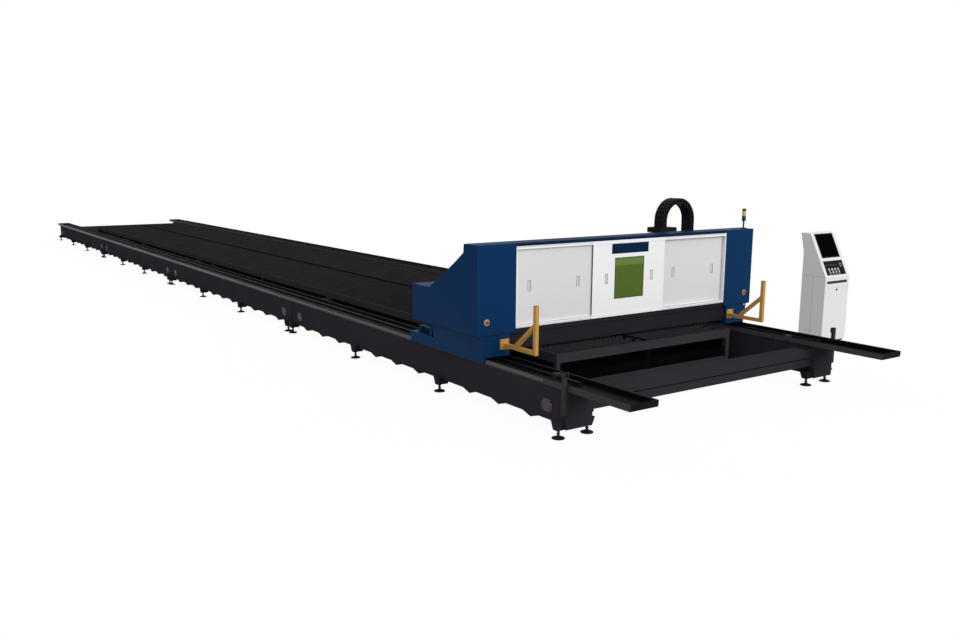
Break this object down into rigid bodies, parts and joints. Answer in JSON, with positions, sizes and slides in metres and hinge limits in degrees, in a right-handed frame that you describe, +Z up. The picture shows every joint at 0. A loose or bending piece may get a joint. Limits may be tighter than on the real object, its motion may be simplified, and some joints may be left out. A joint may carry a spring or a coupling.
{
  "type": "fiber laser cutting machine",
  "caption": "Rail-type plate laser cutting line: long bed with slat table, travelling gantry with sliding doors and window, cutting head inside, and a free-standing console.",
  "frame": {"origin": "middle of the footprint of the whole line with its console, on the floor", "axes": "+Z up; +Y along the bed, from the end where the gantry is parked to the far end; the doors and the console face -Y"},
  "size_m": [7.437, 30.382, 2.3724],
  "materials": {
    "bed_paint": "satin near-black grey paint",
    "table_paint": "satin near-black grey paint",
    "pan_steel": "dull mill-finish steel",
    "slat_steel": "dark flame-cut steel",
    "foot_iron": "blackened iron",
    "tray_paint": "satin grey paint",
    "rail_steel": "ground and oiled",
    "stop_rubber": "matt",
    "console_paint": "fine textured white paint",
    "plinth_paint": "satin dark grey paint",
    "screen_black": "glossy dark screen",
    "panel_black": "matt black panel",
    "key_white": "satin light keys",
    "button_red": "glossy red",
    "ring_yellow": "satin pale yellow",
    "navy_paint": "satin navy paint",
    "white_paint": "satin white paint",
    "skirt_paint": "satin dark grey paint",
    "window_green": "tinted filter window",
    "yellow_paint": "satin signal yellow paint",
    "tower_metal": "satin",
    "lamp_plastic": "coloured lamp lenses",
    "drive_black": "satin black paint",
    "carriage_paint": "satin dark grey paint",
    "chain_black": "matt black nylon",
    "head_aluminium": "satin anodised",
    "nozzle_brass": "turned"
  },
  "bodies": {
    "bed": {"bed_modules_left": "bed_paint", "bed_modules_right": "bed_paint", "levelling_feet_left": "foot_iron", "levelling_feet_right": "foot_iron", "rail_tray_left": "tray_paint", "rail_tray_right": "tray_paint", "guide_rails": "rail_steel", "drive_racks": "rail_steel", "travel_stops": "stop_rubber", "front_cross_beams": "bed_paint", "rear_cross_beams": "bed_paint", "cross_ties": "bed_paint", "end_posts": "bed_paint", "table_frames": "table_paint", "slag_pans": "pan_steel", "table_slats": "slat_steel", "console_cabinet": "console_paint", "console_plinth": "plinth_paint", "console_screen": "screen_black", "console_panel": "panel_black"},
    "gantry": {"gantry_beam": "navy_paint", "end_carriage_left": "navy_paint", "end_carriage_right": "navy_paint", "runner_blocks": "rail_steel", "travel_drives": "drive_black", "cross_rails": "rail_steel", "rear_skirt": "skirt_paint", "front_skirt": "skirt_paint", "end_cover_left": "navy_paint", "end_cover_right": "navy_paint", "header": "navy_paint", "door_tracks": "white_paint", "guard_bracket_left": "yellow_paint", "guard_bracket_right": "yellow_paint", "stop_rings": "ring_yellow", "tower_pole": "tower_metal", "tower_lamps": "lamp_plastic"},
    "pinion_left": {"drive_pinion_left": "rail_steel"},
    "pinion_right": {"drive_pinion_right": "rail_steel"},
    "cross_slide": {"cross_carriage": "carriage_paint", "cable_chain": "chain_black"},
    "lift_slide": {"head_slide": "head_aluminium", "laser_head": "head_aluminium", "nozzle": "nozzle_brass"},
    "left_door": {"door_left": "white_paint"},
    "centre_door": {"door_centre": "white_paint", "door_window": "window_green"},
    "right_door": {"door_right": "white_paint"},
    "left_stop_button": {"stop_button_left": "button_red"},
    "right_stop_button": {"stop_button_right": "button_red"},
    "console_stop_button": {"console_stop": "button_red"},
    "key_1": {"console_button_1": "key_white"},
    "key_2": {"console_button_2": "key_white"},
    "key_3": {"console_button_3": "key_white"},
    "key_4": {"console_button_4": "key_white"},
    "drawer": {"console_drawer": "console_paint"},
    "rear_door": {"console_rear_door": "console_paint"}
  },
  "joints": [
    {"name": "gantry_travel", "type": "slide", "parent": "bed", "child": "gantry", "axis": [0, 1, 0], "range_m": [-1, 23.2]},
    {"name": "pinion_right_turn", "type": "hinge", "parent": "gantry", "child": "pinion_right", "pos_m": [0.8488, -11.269, 0.549], "axis": [0, 0, 1], "continuous": true},
    {"name": "pinion_left_turn", "type": "hinge", "parent": "gantry", "child": "pinion_left", "pos_m": [-3.5118, -11.269, 0.549], "axis": [0, 0, -1], "continuous": true},
    {"name": "head_cross_travel", "type": "slide", "parent": "gantry", "child": "cross_slide", "axis": [1, 0, 0], "range_m": [-2.72, 0.15]},
    {"name": "head_lift", "type": "slide", "parent": "cross_slide", "child": "lift_slide", "axis": [0, 0, 1], "range_m": [-0.12, 0], "deforming": ["cable_chain"]},
    {"name": "door_left_slide", "type": "slide", "parent": "gantry", "child": "left_door", "axis": [1, 0, 0], "range_m": [0, 1.18]},
    {"name": "door_centre_slide", "type": "slide", "parent": "gantry", "child": "centre_door", "axis": [1, 0, 0], "range_m": [-1.18, 1.18]},
    {"name": "door_right_slide", "type": "slide", "parent": "gantry", "child": "right_door", "axis": [1, 0, 0], "range_m": [-1.18, 0]},
    {"name": "stop_left_press", "type": "slide", "parent": "gantry", "child": "left_stop_button", "axis": [0, 1, 0], "range_m": [0, 0.005], "stiffness_N_per_m": 1200, "springref_m": -0.003},
    {"name": "stop_right_press", "type": "slide", "parent": "gantry", "child": "right_stop_button", "axis": [0, 1, 0], "range_m": [0, 0.005], "stiffness_N_per_m": 1200, "springref_m": -0.003},
    {"name": "console_stop_press", "type": "slide", "parent": "bed", "child": "console_stop_button", "axis": [0, 0.9004, -0.435], "range_m": [0, 0.005], "stiffness_N_per_m": 1200, "springref_m": -0.003},
    {"name": "key_1_press", "type": "slide", "parent": "bed", "child": "key_1", "axis": [0, 0.9004, -0.435], "range_m": [0, 0.003], "stiffness_N_per_m": 800, "springref_m": -0.002},
    {"name": "key_2_press", "type": "slide", "parent": "bed", "child": "key_2", "axis": [0, 0.9004, -0.435], "range_m": [0, 0.003], "stiffness_N_per_m": 800, "springref_m": -0.002},
    {"name": "key_3_press", "type": "slide", "parent": "bed", "child": "key_3", "axis": [0, 0.9004, -0.435], "range_m": [0, 0.003], "stiffness_N_per_m": 800, "springref_m": -0.002},
    {"name": "key_4_press", "type": "slide", "parent": "bed", "child": "key_4", "axis": [0, 0.9004, -0.435], "range_m": [0, 0.003], "stiffness_N_per_m": 800, "springref_m": -0.002},
    {"name": "drawer_slide", "type": "slide", "parent": "bed", "child": "drawer", "axis": [0, -1, 0], "range_m": [0, 0.3]},
    {"name": "rear_door_swing", "type": "hinge", "parent": "bed", "child": "rear_door", "pos_m": [3.7065, -12.178, 0.43], "axis": [0, 0, -1], "range_deg": [0, 110]}
  ],
  "couplings": [
    {"joint": "pinion_right_turn", "follows": "gantry_travel", "rad_per_m": 33.333},
    {"joint": "pinion_left_turn", "follows": "gantry_travel", "rad_per_m": 33.333}
  ]
}
